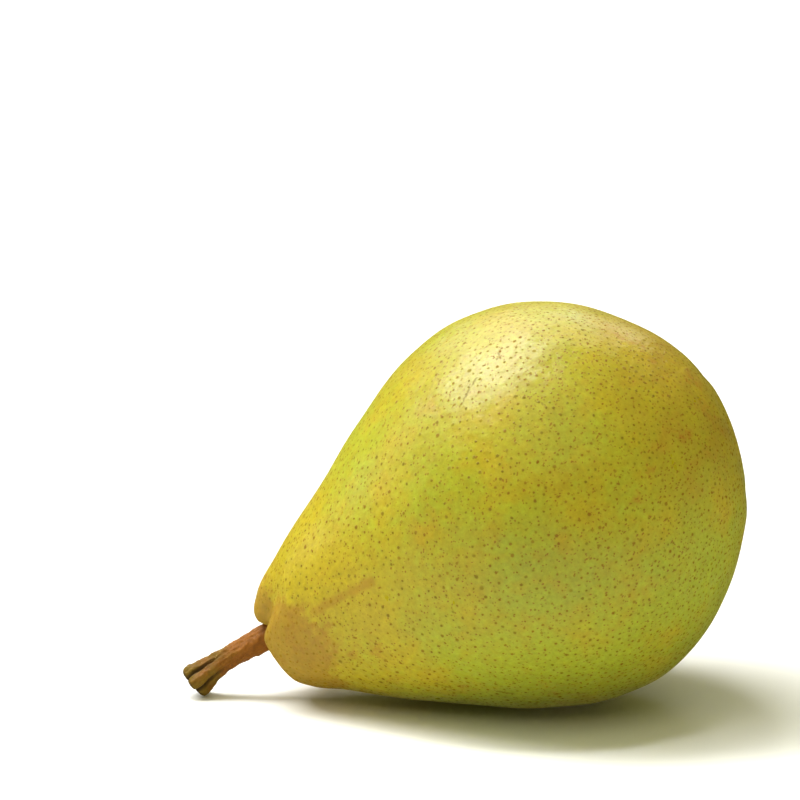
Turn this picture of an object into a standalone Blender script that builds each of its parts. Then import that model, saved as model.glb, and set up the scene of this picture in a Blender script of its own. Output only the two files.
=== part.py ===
"""A ripe dessert pear lying on its side: the fruit, its woody stem and its dried calyx.

Every piece is modelled upright, with the stem up and the blossom end at height 0. An empty
then lays the pear down, so that it rests on a small flat spot on its belly. Metres, +Z up.
"""

import math

import bmesh
import bpy
from mathutils import Matrix, Vector

MM = 0.001

# Driving dimensions of the whole pear.
BELLY_RADIUS = 35.8 * MM
FRUIT_LENGTH = 89.2 * MM
LAID_TILT = math.radians(22.3)
FLAT_SPOT_DEPTH = 0.4 * MM
CLEARANCE = 0.35 * MM

# The fruit's turned outline, from the bottom of the stem pit down to the basin's floor. Each
# point is (height as a share of FRUIT_LENGTH, radius as a share of BELLY_RADIUS).
FRUIT_OUTLINE = (
    (0.955, 0.000),
    (0.964, 0.072),
    (0.988, 0.112),
    (0.999, 0.172),
    (0.975, 0.262),
    (0.908, 0.378),
    (0.802, 0.548),
    (0.673, 0.745),
    (0.527, 0.932),
    (0.381, 1.000),
    (0.252, 0.938),
    (0.129, 0.735),
    (0.033, 0.440),
    (0.012, 0.315),
    (0.000, 0.205),
    (0.022, 0.142),
    (0.050, 0.085),
    (0.058, 0.000),
)
FRUIT_OUTLINE_STEPS = 3
FRUIT_TURN_STEPS = 60

# How the grown fruit departs from the turned one. Angles run round the axis from +X, which
# is the upper side once the pear is laid down.
BELLY_HEIGHT = 0.381 * FRUIT_LENGTH
NECK_BEND = 6.1 * MM
NECK_SLANT = 0.17
NECK_SLANT_SPAN = (0.76, 1.0)
PIT_WALL = (0.06, 0.17)
PIT_SHIFT = (1.6 * MM, 0.6 * MM)
CREASE_ANGLES = (math.radians(-38), math.radians(135))
CREASE_WIDTH = math.radians(17)
CREASE_DROP = 1.9 * MM
CREASE_PINCH = 0.11
CREASE_SPAN = (0.89, 0.995)
RIB_COUNT = 5
RIB_SHARE = 0.004
RIB_TURN = 0.6
RIB_SPAN = (0.0, 0.36)
UNEVEN_SHARE = 0.009
UNEVEN_TWIST = 9.0
UNEVEN_FADE = (0.86, 0.97)
BLOSSOM_SLANT = (-0.02, 0.08)
BLOSSOM_SLANT_SPAN = (0.0, 0.17)

# The stem's outline, from the torn tip down to the root, as (height, radius). Its axis stands
# off the fruit's, upright at the foot, and bends over towards the tip.
STEM_OUTLINE = (
    (105.1 * MM, 0.00 * MM),
    (105.3 * MM, 1.40 * MM),
    (105.1 * MM, 2.40 * MM),
    (104.2 * MM, 2.80 * MM),
    (102.3 * MM, 2.40 * MM),
    (99.2 * MM, 2.05 * MM),
    (94.5 * MM, 2.10 * MM),
    (90.5 * MM, 2.35 * MM),
    (86.0 * MM, 2.50 * MM),
    (80.6 * MM, 2.00 * MM),
    (80.2 * MM, 0.00 * MM),
)
STEM_OUTLINE_STEPS = 4
STEM_TURN_STEPS = 32
STEM_FOOT = (-4.0 * MM, 0.8 * MM)
STEM_FOOT_HEIGHT = 85.0 * MM
STEM_TIP_HEIGHT = 104.0 * MM
STEM_BEND = (-2.6 * MM, -0.8 * MM)
STEM_RIDGES = 5
STEM_SHAFT_RIDGE_SHARE = 0.035
STEM_TIP_RIDGE_SHARE = 0.10
STEM_WART_SHARE = 0.05
STEM_TIP_SLANT = 0.34
STEM_TIP_FLATTEN = 0.12
STEM_SOCKET_TOP = 98.0 * MM

# The calyx's cup, from its root down to its hollow, as (height, radius).
CUP_OUTLINE = (
    (7.6 * MM, 0.00 * MM),
    (7.6 * MM, 1.90 * MM),
    (4.6 * MM, 2.00 * MM),
    (3.6 * MM, 2.70 * MM),
    (2.3 * MM, 2.80 * MM),
    (2.1 * MM, 2.30 * MM),
    (3.2 * MM, 1.60 * MM),
    (3.4 * MM, 0.00 * MM),
)
CUP_TURN_STEPS = 24
CUP_SOCKET_RADIUS = 2.4 * MM
CUP_SOCKET_TOP = 8.0 * MM
SEPAL_COUNT = 5
SEPAL_ROOT = (2.2 * MM, 2.9 * MM)
SEPAL_TIP = (5.1 * MM, 0.6 * MM)
SEPAL_WIDTH = 2.7 * MM
SEPAL_TIP_SHARE = 0.3
SEPAL_CURL = 0.5 * MM
SEPAL_THICKNESS = 0.7 * MM
STAMEN_COUNT = 7
STAMEN_RING_RADIUS = 1.1 * MM
STAMEN_RADIUS = 0.32 * MM
STAMEN_ROOT_HEIGHT = 3.9 * MM
STAMEN_TIP_HEIGHT = 1.2 * MM


def clear_scene():
    for obj in list(bpy.data.objects):
        bpy.data.objects.remove(obj)


def new_collection(name):
    collection = bpy.data.collections.new(name)
    bpy.context.scene.collection.children.link(collection)
    return collection


def new_material(name, colour, roughness):
    """A Principled material of one colour, which is not metallic."""
    material = bpy.data.materials.new(name)
    material.use_nodes = True
    shader = material.node_tree.nodes["Principled BSDF"]
    shader.inputs["Base Color"].default_value = (*colour, 1.0)
    shader.inputs["Roughness"].default_value = roughness
    shader.inputs["Metallic"].default_value = 0.0
    return material


def add_object(name, data, collection, parent=None):
    obj = bpy.data.objects.new(name, data)
    collection.objects.link(obj)
    obj.parent = parent
    return obj


def evaluated_mesh(obj, name):
    """The object's mesh with its modifiers applied, as a new mesh."""
    bpy.context.view_layer.update()
    graph = bpy.context.evaluated_depsgraph_get()
    mesh = bpy.data.meshes.new_from_object(obj.evaluated_get(graph))
    mesh.name = name
    return mesh


def ramp(low, high, value):
    """0 below low, 1 above high, and a smooth rise between."""
    share = min(max((value - low) / (high - low), 0.0), 1.0)
    return share * share * (3.0 - 2.0 * share)


def nearness(angle, centre, width):
    """1 where the angle is at the centre, falling away smoothly round the axis."""
    apart = (angle - centre + math.pi) % (2.0 * math.pi) - math.pi
    return math.exp(-((apart / width) ** 2))


def turned_mesh(name, outline, outline_steps, turn_steps, collection):
    """A closed mesh: an outline of (height, radius) points turned round the Z axis."""
    curve = bpy.data.curves.new(name, "CURVE")
    curve.dimensions = "3D"
    curve.resolution_u = outline_steps
    spline = curve.splines.new("BEZIER")
    spline.bezier_points.add(len(outline) - 1)
    handle_type = "AUTO" if outline_steps > 1 else "VECTOR"
    for point, (height, radius) in zip(spline.bezier_points, outline):
        point.co = (radius, 0.0, height)
        point.handle_left_type = handle_type
        point.handle_right_type = handle_type
    guide = add_object(name, curve, collection)
    line = evaluated_mesh(guide, name)
    bpy.data.objects.remove(guide)
    turned = add_object(name, line, collection)
    screw = turned.modifiers.new("turn", "SCREW")
    screw.axis = "Z"
    screw.steps = turn_steps
    screw.render_steps = turn_steps
    screw.use_merge_vertices = True
    screw.merge_threshold = 0.01 * MM
    mesh = evaluated_mesh(turned, name)
    bpy.data.objects.remove(turned)
    return mesh


def neck_offset(height):
    """How far the neck's axis leans towards the floor side at this height."""
    rise = max(height - BELLY_HEIGHT, 0.0) / (FRUIT_LENGTH - BELLY_HEIGHT)
    return -NECK_BEND * rise * rise


def blossom_slant(x, y, height):
    """How far the blossom end, which grew askew, is raised at this side and height."""
    tilt = BLOSSOM_SLANT[0] * x + BLOSSOM_SLANT[1] * y
    return tilt * (1.0 - ramp(*BLOSSOM_SLANT_SPAN, height / FRUIT_LENGTH))


def grown_fruit(point):
    """Moves a point of the turned fruit to its place on the grown, uneven one."""
    height = point.z
    radius = math.hypot(point.x, point.y)
    angle = math.atan2(point.y, point.x)
    share = height / FRUIT_LENGTH

    outside_pit = ramp(*PIT_WALL, radius / BELLY_RADIUS)
    crease = max(nearness(angle, centre, CREASE_WIDTH) for centre in CREASE_ANGLES)
    crease *= outside_pit * ramp(*CREASE_SPAN, share)
    radius *= 1.0 - CREASE_PINCH * crease
    height -= CREASE_DROP * crease

    blossom_end = 1.0 - ramp(*RIB_SPAN, share)
    radius *= 1.0 + RIB_SHARE * blossom_end * math.cos(RIB_COUNT * angle + RIB_TURN)
    swell = math.sin(2.0 * angle) - math.cos(3.0 * angle + UNEVEN_TWIST * (share - 0.33))
    radius *= 1.0 + UNEVEN_SHARE * swell * (1.0 - ramp(*UNEVEN_FADE, share))

    x = radius * math.cos(angle)
    y = radius * math.sin(angle)
    height += NECK_SLANT * x * ramp(*NECK_SLANT_SPAN, share) + blossom_slant(x, y, point.z)
    in_pit = ramp(0.9, 0.95, share) * (1.0 - outside_pit)
    x += neck_offset(point.z) + PIT_SHIFT[0] * in_pit
    y += PIT_SHIFT[1] * in_pit
    return Vector((x, y, height))


def make_fruit(parts, helpers, laid_down):
    outline = [(height * FRUIT_LENGTH, radius * BELLY_RADIUS) for height, radius in FRUIT_OUTLINE]
    mesh = turned_mesh("fruit", outline, FRUIT_OUTLINE_STEPS, FRUIT_TURN_STEPS, helpers)
    for vertex in mesh.vertices:
        vertex.co = grown_fruit(vertex.co)
    mesh.shade_smooth()
    mesh.materials.append(new_material("skin", (0.58, 0.55, 0.07), 0.35))
    return add_object("fruit", mesh, parts, laid_down)


def stem_axis(height):
    """Where the stem's axis is at this height: upright in the pit, then bent over."""
    rise = max(height - STEM_FOOT_HEIGHT, 0.0) / (STEM_TIP_HEIGHT - STEM_FOOT_HEIGHT)
    x = STEM_FOOT[0] + STEM_BEND[0] * rise * rise
    y = STEM_FOOT[1] + STEM_BEND[1] * rise * rise
    return x, y


def grown_stem(point):
    """Moves a point of the turned stem to its place on the ridged, bent one."""
    height = point.z
    angle = math.atan2(point.y, point.x)
    along = (height - STEM_FOOT_HEIGHT) / (STEM_TIP_HEIGHT - STEM_FOOT_HEIGHT)
    above_pit = ramp(0.1, 0.35, along)
    torn_end = ramp(0.6, 1.0, along)
    ridge = math.cos(STEM_RIDGES * angle + along)
    ridge *= STEM_SHAFT_RIDGE_SHARE + (STEM_TIP_RIDGE_SHARE - STEM_SHAFT_RIDGE_SHARE) * torn_end
    wart = math.sin(3.0 * angle + 19.0 * along) * math.sin(27.0 * along + 2.0 * angle)
    grow = 1.0 + (ridge + STEM_WART_SHARE * wart) * above_pit
    x = point.x * grow
    y = point.y * grow * (1.0 + STEM_TIP_FLATTEN * torn_end)
    height += STEM_TIP_SLANT * x * torn_end
    axis_x, axis_y = stem_axis(point.z)
    return Vector((x + axis_x, y + axis_y, height))


def make_stem(parts, helpers, laid_down):
    """The woody stem: ridged along its length, warty, and flared at its torn tip."""
    mesh = turned_mesh("stem", STEM_OUTLINE, STEM_OUTLINE_STEPS, STEM_TURN_STEPS, helpers)
    for vertex in mesh.vertices:
        vertex.co = grown_stem(vertex.co)
    mesh.shade_smooth()
    mesh.materials.append(new_material("stem_wood", (0.28, 0.15, 0.05), 0.7))
    return add_object("stem", mesh, parts, laid_down)


def make_sepal(name, turn, collection):
    """One dried sepal: a tapered blade that curls out from the cup's lip."""
    shape = bmesh.new()
    bmesh.ops.create_grid(shape, x_segments=6, y_segments=4, size=1.0)
    for vertex in shape.verts:
        along = (vertex.co.x + 1.0) / 2.0
        half_width = SEPAL_WIDTH / 2.0 * (1.0 - (1.0 - SEPAL_TIP_SHARE) * along ** 1.6)
        across = vertex.co.y * half_width
        out = SEPAL_ROOT[0] + (SEPAL_TIP[0] - SEPAL_ROOT[0]) * along
        height = SEPAL_ROOT[1] + (SEPAL_TIP[1] - SEPAL_ROOT[1]) * along
        height -= SEPAL_CURL * math.sin(math.pi * along)
        height += SEPAL_CURL * vertex.co.y ** 2 * along
        vertex.co = (out, across, height)
    bmesh.ops.rotate(shape, verts=shape.verts, matrix=Matrix.Rotation(turn, 3, "Z"))
    mesh = bpy.data.meshes.new(name)
    shape.to_mesh(mesh)
    shape.free()
    sepal = add_object(name, mesh, collection)
    wall = sepal.modifiers.new("thickness", "SOLIDIFY")
    wall.thickness = SEPAL_THICKNESS
    wall.offset = 0.0
    return sepal


def make_stamen(name, turn, collection):
    """One stub of a dried stamen, which leans out from the cup's floor."""
    shape = bmesh.new()
    length = STAMEN_ROOT_HEIGHT - STAMEN_TIP_HEIGHT
    bmesh.ops.create_cone(
        shape, cap_ends=True, segments=6, radius1=STAMEN_RADIUS, radius2=STAMEN_RADIUS, depth=length
    )
    lean = Matrix.Rotation(turn, 4, "Z") @ Matrix.Translation((STAMEN_RING_RADIUS, 0.0, 0.0))
    lean @= Matrix.Rotation(math.radians(-14), 4, "Y")
    middle = (STAMEN_ROOT_HEIGHT + STAMEN_TIP_HEIGHT) / 2.0
    shape.transform(Matrix.Translation((0.0, 0.0, middle)) @ lean)
    mesh = bpy.data.meshes.new(name)
    shape.to_mesh(mesh)
    shape.free()
    return add_object(name, mesh, collection)


def make_calyx(parts, helpers, laid_down):
    """The dried calyx in the basin: a cup on a short root, five sepals and a few stamens."""
    cup = add_object("cup", turned_mesh("cup", CUP_OUTLINE, 1, CUP_TURN_STEPS, helpers), helpers)
    growths = new_collection("calyx_growths")
    for index in range(SEPAL_COUNT):
        make_sepal(f"sepal_{index}", 2.0 * math.pi * index / SEPAL_COUNT, growths)
    for index in range(STAMEN_COUNT):
        make_stamen(f"stamen_{index}", 2.0 * math.pi * (index + 0.3) / STAMEN_COUNT, growths)
    join = cup.modifiers.new("join", "BOOLEAN")
    join.operation = "UNION"
    join.solver = "EXACT"
    join.operand_type = "COLLECTION"
    join.collection = growths
    mesh = evaluated_mesh(cup, "calyx")
    for obj in [cup, *growths.objects]:
        bpy.data.objects.remove(obj)
    bpy.data.collections.remove(growths)
    for vertex in mesh.vertices:
        vertex.co.z += blossom_slant(*vertex.co)
    mesh.shade_smooth()
    mesh.set_sharp_from_angle(angle=math.radians(40))
    mesh.materials.clear()
    mesh.materials.append(new_material("dried_calyx", (0.11, 0.06, 0.025), 0.85))
    return add_object("calyx", mesh, parts, laid_down)


def set_down(laid_down, pieces):
    """Places the laid pear: its box centred over the origin, its belly just into the floor."""
    bpy.context.view_layer.update()
    points = [piece.matrix_world @ vertex.co for piece in pieces for vertex in piece.data.vertices]
    low = [min(point[axis] for point in points) for axis in range(3)]
    high = [max(point[axis] for point in points) for axis in range(3)]
    laid_down.location = (-(low[0] + high[0]) / 2.0, -(low[1] + high[1]) / 2.0, 0.0)
    laid_down.location.z = -low[2] - FLAT_SPOT_DEPTH


def cut_away(target, mesh, collection, parent=None):
    """Cuts the closed mesh out of the target, and keeps it as a hidden helper."""
    cutter = add_object(mesh.name, mesh, collection, parent)
    cutter.hide_render = True
    cutter.display_type = "WIRE"
    cut = target.modifiers.new(mesh.name, "BOOLEAN")
    cut.operation = "DIFFERENCE"
    cut.solver = "EXACT"
    cut.object = cutter


def stem_socket(helpers):
    """A plain hole for the stem's root, which follows the stem out between the lobes."""
    bottom = STEM_OUTLINE[-1][0] - CLEARANCE
    widest = max(radius for height, radius in STEM_OUTLINE if height < STEM_SOCKET_TOP)
    radius = widest * (1.0 + STEM_SHAFT_RIDGE_SHARE + STEM_WART_SHARE) + CLEARANCE
    outline = [
        (STEM_SOCKET_TOP, 0.0),
        (STEM_SOCKET_TOP, radius),
        (STEM_FOOT_HEIGHT, radius),
        (bottom, radius),
        (bottom, 0.0),
    ]
    mesh = turned_mesh("stem_socket", outline, 1, STEM_TURN_STEPS, helpers)
    for vertex in mesh.vertices:
        x, y = stem_axis(vertex.co.z)
        vertex.co += Vector((x, y, 0.0))
    return mesh


def calyx_socket(helpers):
    """A plain hole for the calyx's root in the floor of the basin."""
    outline = [
        (CUP_SOCKET_TOP, 0.0),
        (CUP_SOCKET_TOP, CUP_SOCKET_RADIUS),
        (0.0, CUP_SOCKET_RADIUS),
        (0.0, 0.0),
    ]
    mesh = turned_mesh("calyx_socket", outline, 1, CUP_TURN_STEPS, helpers)
    for vertex in mesh.vertices:
        vertex.co.z += blossom_slant(*vertex.co)
    return mesh


def below_floor():
    """A block with its top at height 0, which takes the flat spot off the belly."""
    shape = bmesh.new()
    side = 2.0 * FRUIT_LENGTH
    bmesh.ops.create_cube(shape, size=side, matrix=Matrix.Translation((0.0, 0.0, -side / 2.0)))
    mesh = bpy.data.meshes.new("below_floor")
    shape.to_mesh(mesh)
    shape.free()
    return mesh


def main():
    clear_scene()
    parts = new_collection("pear")
    helpers = new_collection("helpers")
    laid_down = add_object("laid_down", None, parts)
    laid_down.rotation_euler.y = -(math.pi / 2.0 + LAID_TILT)
    fruit = make_fruit(parts, helpers, laid_down)
    stem = make_stem(parts, helpers, laid_down)
    calyx = make_calyx(parts, helpers, laid_down)
    set_down(laid_down, (fruit, stem, calyx))
    cut_away(fruit, stem_socket(helpers), helpers, laid_down)
    cut_away(fruit, calyx_socket(helpers), helpers, laid_down)
    cut_away(fruit, below_floor(), helpers)


main()
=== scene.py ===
# %% [markdown]
# # A ripe pear lying on its side
#
# The object is a ripe dessert pear that lies on its belly on a pale table. It has three pieces:
# the fruit itself, a bent woody stem, and the dried calyx that is left of the flower in the
# basin at the far end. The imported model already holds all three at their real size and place,
# as plain solids. This lesson gives each of them its looks: a finer copy of the same grown
# form, and a skin, bark or dried leaf made of shader nodes.
#
# The pieces could be sculpted by hand instead. A formula was chosen because the solids come
# from one too, so the fine forms can't drift away from them.

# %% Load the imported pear
import math

import bmesh
import bpy
import numpy as np
from mathutils import Matrix, Vector, kdtree, noise


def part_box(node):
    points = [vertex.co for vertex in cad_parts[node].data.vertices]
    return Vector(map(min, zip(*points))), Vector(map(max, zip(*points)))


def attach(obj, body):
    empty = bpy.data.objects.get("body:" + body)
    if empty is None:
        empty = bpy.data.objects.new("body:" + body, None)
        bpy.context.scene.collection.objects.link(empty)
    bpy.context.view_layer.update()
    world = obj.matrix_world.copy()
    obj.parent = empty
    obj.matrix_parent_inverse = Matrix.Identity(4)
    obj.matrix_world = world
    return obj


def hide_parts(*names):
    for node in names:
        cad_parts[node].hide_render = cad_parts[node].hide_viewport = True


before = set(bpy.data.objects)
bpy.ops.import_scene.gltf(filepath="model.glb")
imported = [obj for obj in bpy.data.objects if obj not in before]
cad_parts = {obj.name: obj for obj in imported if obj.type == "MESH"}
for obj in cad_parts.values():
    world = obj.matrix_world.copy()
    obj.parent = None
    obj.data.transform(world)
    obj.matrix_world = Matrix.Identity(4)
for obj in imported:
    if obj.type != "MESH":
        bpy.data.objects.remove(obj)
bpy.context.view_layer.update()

MM = 0.001
print("packed nodes:", sorted(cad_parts))

# %% [markdown]
# ## The camera
#
# The photograph was taken from a little above, with a long lens, because the pear's outline
# shows almost no perspective. A camera could simply be aimed at the pear's middle. Here the
# pear sits low and to the right in its square picture, so the camera stands where the belly's
# outline asks for, and is then turned towards the middle of the picture.

# %% Camera
CAMERA_ELEVATION = math.radians(13.0)
CAMERA_DISTANCE = 758.0 * MM
CAMERA_LENS_MM = 193.95
BELLY_CENTRE = Vector((15.1, 0.0, 32.6)) * MM
PICTURE_LEFT_OF_BELLY = 26.35 * MM
PICTURE_ABOVE_BELLY = 20.88 * MM


def add_camera():
    """A long-lens camera at the height of the photograph's, aimed at the picture's middle."""
    backwards = Vector((0.0, -math.cos(CAMERA_ELEVATION), math.sin(CAMERA_ELEVATION)))
    upwards = Vector((0.0, math.sin(CAMERA_ELEVATION), math.cos(CAMERA_ELEVATION)))
    middle = BELLY_CENTRE + upwards * PICTURE_ABOVE_BELLY - Vector((PICTURE_LEFT_OF_BELLY, 0.0, 0.0))
    data = bpy.data.cameras.new("camera")
    data.lens = CAMERA_LENS_MM
    data.sensor_width = 36.0
    data.clip_start = 10.0 * MM
    camera = bpy.data.objects.new("camera", data)
    bpy.context.scene.collection.objects.link(camera)
    camera.location = BELLY_CENTRE + backwards * CAMERA_DISTANCE
    camera.rotation_euler = (middle - camera.location).to_track_quat("-Z", "Y").to_euler()
    bpy.context.scene.camera = camera
    return camera


camera = add_camera()
print("camera stands at, mm:", [round(value / MM, 1) for value in camera.location])

# %% [markdown]
# ## Floor and light
#
# The pear lies on a white table in a white studio. The long bright patch on its upper left is
# the mirror image of a wide softbox overhead and a little to the left. The pale streak on the
# neck comes from a lower white panel on the left, and the sheen along the top from a panel
# behind. That panel only shows in reflections, because its light would throw a wide shadow to
# the front. A large, slightly warm softbox in front and a low fill light on the right give the
# rest. Two narrow lights point straight down at the table, one behind the pear and one in
# front, and keep it white up to the pear's shadow. The world is dim and warm, which colours the
# shadow. A table mirrored in the skin would hide the skin's colour, so it is left out of
# reflections, and the standard view transform keeps it white.

# %% Floor and light
FLOOR_HALF_WIDTH = 3.0
FLOOR_WHITE = (0.90, 0.90, 0.89, 1.0)
FLOOR_ROUGHNESS = 0.30
SURROUNDINGS_COLOUR = (1.0, 0.94, 0.28, 1.0)
SURROUNDINGS_STRENGTH = 0.17
FRONT_LIGHT_COLOUR = (1.0, 0.97, 0.76)
PEAR_MIDDLE = Vector((5.0, 0.0, 36.0)) * MM


def add_floor():
    shape = bmesh.new()
    bmesh.ops.create_grid(shape, x_segments=1, y_segments=1, size=FLOOR_HALF_WIDTH)
    mesh = bpy.data.meshes.new("white_table")
    shape.to_mesh(mesh)
    shape.free()
    floor = bpy.data.objects.new("white_table", mesh)
    bpy.context.scene.collection.objects.link(floor)
    paint = bpy.data.materials.new("white_table")
    paint.use_nodes = True
    shader = paint.node_tree.nodes["Principled BSDF"]
    shader.inputs["Base Color"].default_value = FLOOR_WHITE
    shader.inputs["Roughness"].default_value = FLOOR_ROUGHNESS
    mesh.materials.append(paint)
    floor.visible_glossy = False


def add_softbox(name, left_end, right_end, depth, aim, brightness):
    """An area light as long as from its left end to its right end, which looks at a point.
    Its brightness is that of its face, and the power is brightness x pi x area."""
    across = Vector(right_end) - Vector(left_end)
    place = (Vector(right_end) + Vector(left_end)) / 2.0
    x_axis = across.normalized()
    z_axis = (place - aim).normalized()
    y_axis = z_axis.cross(x_axis).normalized()
    z_axis = x_axis.cross(y_axis)
    data = bpy.data.lights.new(name, "AREA")
    data.shape = "RECTANGLE"
    data.size = across.length
    data.size_y = depth
    data.energy = brightness * math.pi * across.length * depth
    light = bpy.data.objects.new(name, data)
    bpy.context.scene.collection.objects.link(light)
    turn = Matrix((x_axis, y_axis, z_axis)).transposed()
    light.matrix_world = Matrix.Translation(place) @ turn.to_4x4()
    return light


def add_table_light(name, left_end, right_end, depth, brightness, spread_degrees):
    """A narrow light that points straight down at the table and isn't mirrored in the skin."""
    below = (Vector(left_end) + Vector(right_end)) / 2.0
    below.z = 0.0
    light = add_softbox(name, left_end, right_end, depth, below, brightness)
    light.data.spread = math.radians(spread_degrees)
    light.visible_glossy = False


def add_dim_surroundings():
    world = bpy.data.worlds.new("dim_studio")
    world.use_nodes = True
    background = world.node_tree.nodes["Background"]
    background.inputs["Color"].default_value = SURROUNDINGS_COLOUR
    background.inputs["Strength"].default_value = SURROUNDINGS_STRENGTH
    bpy.context.scene.world = world


add_floor()
add_softbox("overhead_softbox", (-0.60, 0.05, 0.60), (-0.02, 0.26, 0.80), 0.42, PEAR_MIDDLE, 14.3)
add_softbox("left_panel", (-0.56, -0.02, 0.23), (-0.50, 0.26, 0.23), 0.24, PEAR_MIDDLE, 1.8)
front_softbox = add_softbox(
    "front_softbox", (-0.50, -0.42, 0.72), (0.45, -0.42, 0.72), 0.80, PEAR_MIDDLE, 1.15
)
front_softbox.data.color = FRONT_LIGHT_COLOUR
back_panel = add_softbox("back_panel", (-0.50, 0.62, 0.62), (0.34, 0.62, 0.62), 0.55, PEAR_MIDDLE, 2.6)
back_panel.visible_diffuse = False
right_fill = add_softbox("right_fill", (0.70, -0.30, 0.07), (0.70, 0.20, 0.07), 0.14, PEAR_MIDDLE, 2.0)
right_fill.visible_glossy = False
add_table_light("front_table_light", (-0.45, -0.322, 0.35), (0.62, -0.322, 0.35), 0.575, 0.80, 16.0)
add_table_light("table_light", (-1.2, 1.15, 1.1), (1.4, 1.15, 1.1), 0.9, 5.0, 75.0)
add_dim_surroundings()
bpy.context.scene.view_settings.view_transform = "Standard"

# %% [markdown]
# ## Turned forms
#
# A pear, its stem and its calyx all grow round an axis, so each starts as an outline turned
# round it, as on a lathe. The outline could be drawn as a chain of straight pieces. A Bezier
# curve with automatic handles needs far fewer points for the same round form. It is then cut
# into steps of equal length, so that the faces of the turned form are all about the same size.

# %% Turned forms
def ramp(low, high, value):
    """0 below low, 1 above high, and a smooth rise between, for a number or an array."""
    share = np.clip((value - low) / (high - low), 0.0, 1.0)
    return share * share * (3.0 - 2.0 * share)


def nearness(angle, centre, width):
    """1 where the angle is at the centre, falling away smoothly round the axis."""
    apart = (angle - centre + math.pi) % (2.0 * math.pi) - math.pi
    return np.exp(-((apart / width) ** 2))


def smooth_outline(corners, spacing):
    """Evenly spaced (height, radius) points along the smooth curve through the corners."""
    curve = bpy.data.curves.new("outline", "CURVE")
    curve.dimensions = "3D"
    curve.resolution_u = 48
    spline = curve.splines.new("BEZIER")
    spline.bezier_points.add(len(corners) - 1)
    for point, (height, radius) in zip(spline.bezier_points, corners):
        point.co = (radius, 0.0, height)
        point.handle_left_type = "AUTO"
        point.handle_right_type = "AUTO"
    guide = bpy.data.objects.new("outline", curve)
    bpy.context.scene.collection.objects.link(guide)
    line = bpy.data.meshes.new_from_object(guide)
    places = np.array([vertex.co for vertex in line.vertices])
    bpy.data.objects.remove(guide)
    bpy.data.meshes.remove(line)
    lengths = np.linalg.norm(np.diff(places, axis=0), axis=1)
    travelled = np.concatenate(([0.0], np.cumsum(lengths)))
    stops = np.linspace(0.0, travelled[-1], round(travelled[-1] / spacing) + 1)
    heights = np.interp(stops, travelled, places[:, 2])
    radii = np.interp(stops, travelled, places[:, 0])
    return list(zip(heights, radii))


def turn_outline(outline, steps):
    """A bmesh: the outline turned all the way round the Z axis and closed at both poles. Only
    a quarter is turned, and mirrored twice, because turning many steps at once is slow."""
    shape = bmesh.new()
    chain = [shape.verts.new((max(radius, 0.0), 0.0, height)) for height, radius in outline]
    for above, below in zip(chain, chain[1:]):
        shape.edges.new((above, below))
    bmesh.ops.spin(
        shape, geom=shape.verts[:] + shape.edges[:], cent=(0.0, 0.0, 0.0), axis=(0.0, 0.0, 1.0),
        angle=math.pi / 2.0, steps=steps // 4,
    )
    for axis in "XY":
        bmesh.ops.remove_doubles(shape, verts=shape.verts[:], dist=0.002 * MM)
        everything = shape.verts[:] + shape.edges[:] + shape.faces[:]
        bmesh.ops.mirror(shape, geom=everything, merge_dist=0.002 * MM, axis=axis)
    bmesh.ops.remove_doubles(shape, verts=shape.verts[:], dist=0.002 * MM)
    bmesh.ops.recalc_face_normals(shape, faces=shape.faces[:])
    return shape


def places_of(mesh):
    """The mesh's vertices as an array with a row for each."""
    places = np.empty(len(mesh.vertices) * 3)
    mesh.vertices.foreach_get("co", places)
    return places.reshape(-1, 3)


def move_to(mesh, places):
    mesh.vertices.foreach_set("co", places.ravel())
    mesh.update()


def finished_mesh(shape, name):
    """Turns the bmesh into a smooth-shaded mesh and frees it."""
    mesh = bpy.data.meshes.new(name)
    shape.to_mesh(mesh)
    shape.free()
    mesh.shade_smooth()
    return mesh


# %% [markdown]
# ## The fruit's form
#
# The outline runs from the bottom of the stem pit, over the shoulder, down the neck, round the
# belly and into the basin. Growth then changes the turned form: the neck leans to the side
# that hung lower on the tree, two creases part the flesh round the stem into soft lobes, five
# faint ribs run into the basin, the blossom end is slightly askew, and the belly is never quite
# round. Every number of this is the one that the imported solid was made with. Three small things
# are added to it: finer steps, a rim round the basin that is rounder and less level, by less
# than a millimetre, and a slight waviness of the flesh for the way it bends reflections.

# %% The fruit's outline and growth
BELLY_RADIUS = 35.8 * MM
FRUIT_LENGTH = 89.2 * MM
FRUIT_OUTLINE = (
    (0.955, 0.000),
    (0.964, 0.072),
    (0.988, 0.112),
    (0.999, 0.172),
    (0.975, 0.262),
    (0.908, 0.378),
    (0.802, 0.548),
    (0.673, 0.745),
    (0.527, 0.932),
    (0.381, 1.000),
    (0.252, 0.938),
    (0.129, 0.735),
    (0.033, 0.440),
    (0.012, 0.315),
    (0.000, 0.205),
    (0.022, 0.142),
    (0.050, 0.085),
    (0.058, 0.000),
)
FRUIT_FACE_LENGTH = 0.56 * MM
FRUIT_TURN_STEPS = 400

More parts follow.
